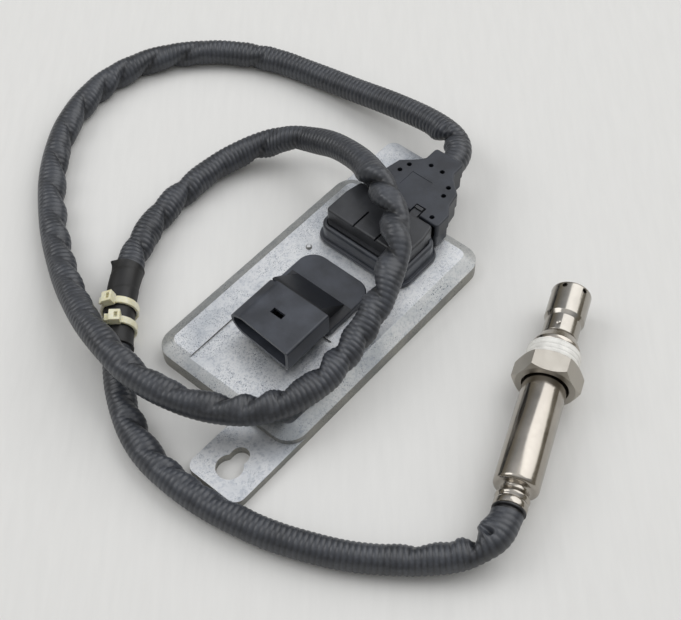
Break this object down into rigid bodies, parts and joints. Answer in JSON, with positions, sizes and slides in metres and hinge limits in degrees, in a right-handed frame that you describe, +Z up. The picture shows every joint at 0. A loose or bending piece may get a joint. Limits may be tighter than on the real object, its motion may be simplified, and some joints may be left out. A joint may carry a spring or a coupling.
{
  "type": "nitrogen oxide sensor",
  "caption": "Exhaust gas sensor: screw-in steel probe on a ribbed cable that is plugged into a flat cast control unit with an open vehicle socket.",
  "frame": {"origin": "centre of the control unit's underside, on the surface that the part lies on", "axes": "+X along the control unit's long axis towards the cable outlet, +Z up from the surface, +Y to the side that the cable's large loop lies on"},
  "size_m": [0.1966, 0.2718, 0.0392],
  "materials": {
    "cast_aluminium": "as cast, pale grey with fine mottling",
    "plate_aluminium": "rolled sheet",
    "sealant": "cured bead",
    "board_laminate": "coated laminate",
    "screw_steel": "zinc plated",
    "chip_black": "moulded",
    "capacitor_yellow": "moulded",
    "capacitor_tan": "ceramic",
    "tinned_contact": "tin plated",
    "connector_black": "moulded, slightly bluish black",
    "gasket_rubber": "soft",
    "plug_black": "moulded, slightly bluish black",
    "backshell_black": "moulded, fine texture",
    "conduit_black": "ribbed, soft sheen",
    "tape_black": "wound tape",
    "tie_nylon": "natural nylon",
    "grommet_rubber": "moulded",
    "lead_insulation": "smooth",
    "sleeve_steel": "drawn and bright, warm tone",
    "ceramic_white": "fired ceramic",
    "powder_grey": "pressed powder",
    "body_steel": "turned, bright",
    "nut_steel": "bright hexagon",
    "coating_white": "dry white thread paste",
    "tube_steel": "drawn, bright"
  },
  "bodies": {
    "sensor": {"housing": "cast_aluminium", "base_plate": "plate_aluminium", "base_seal": "sealant", "circuit_board": "board_laminate", "board_screws": "screw_steel", "processor": "chip_black", "driver_chips": "chip_black", "block_capacitors": "capacitor_yellow", "chip_capacitors": "capacitor_tan", "vehicle_pins": "tinned_contact", "vehicle_connector": "connector_black", "vehicle_gasket": "gasket_rubber", "sensor_pins": "tinned_contact", "sensor_socket": "connector_black", "sensor_gasket": "gasket_rubber", "plug_body": "plug_black", "plug_seal": "gasket_rubber", "plug_terminals": "tinned_contact", "wire_leads": "lead_insulation", "wire_seal": "gasket_rubber", "backshell_upper": "backshell_black", "backshell_lower": "backshell_black", "conduit": "conduit_black", "tape_wrap": "tape_black", "cable_tie_1": "tie_nylon", "cable_tie_2": "tie_nylon", "cable_grommet": "grommet_rubber", "probe_leads": "lead_insulation", "outer_sleeve": "sleeve_steel", "contact_holder": "ceramic_white", "probe_terminals": "tinned_contact", "sensing_element": "ceramic_white", "rear_insulator": "ceramic_white", "powder_packing": "powder_grey", "front_insulator": "ceramic_white", "probe_body": "body_steel", "tube_collar": "tube_steel", "tip_tube": "tube_steel", "inner_tube": "tube_steel"},
    "nut": {"union_nut": "nut_steel", "thread_coating": "coating_white"}
  },
  "joints": [
    {"name": "nut_spin", "type": "hinge", "parent": "sensor", "child": "nut", "pos_m": [0.02628, -0.08527, 0.011], "axis": [0.9272, 0.3746, 0], "continuous": true}
  ]
}
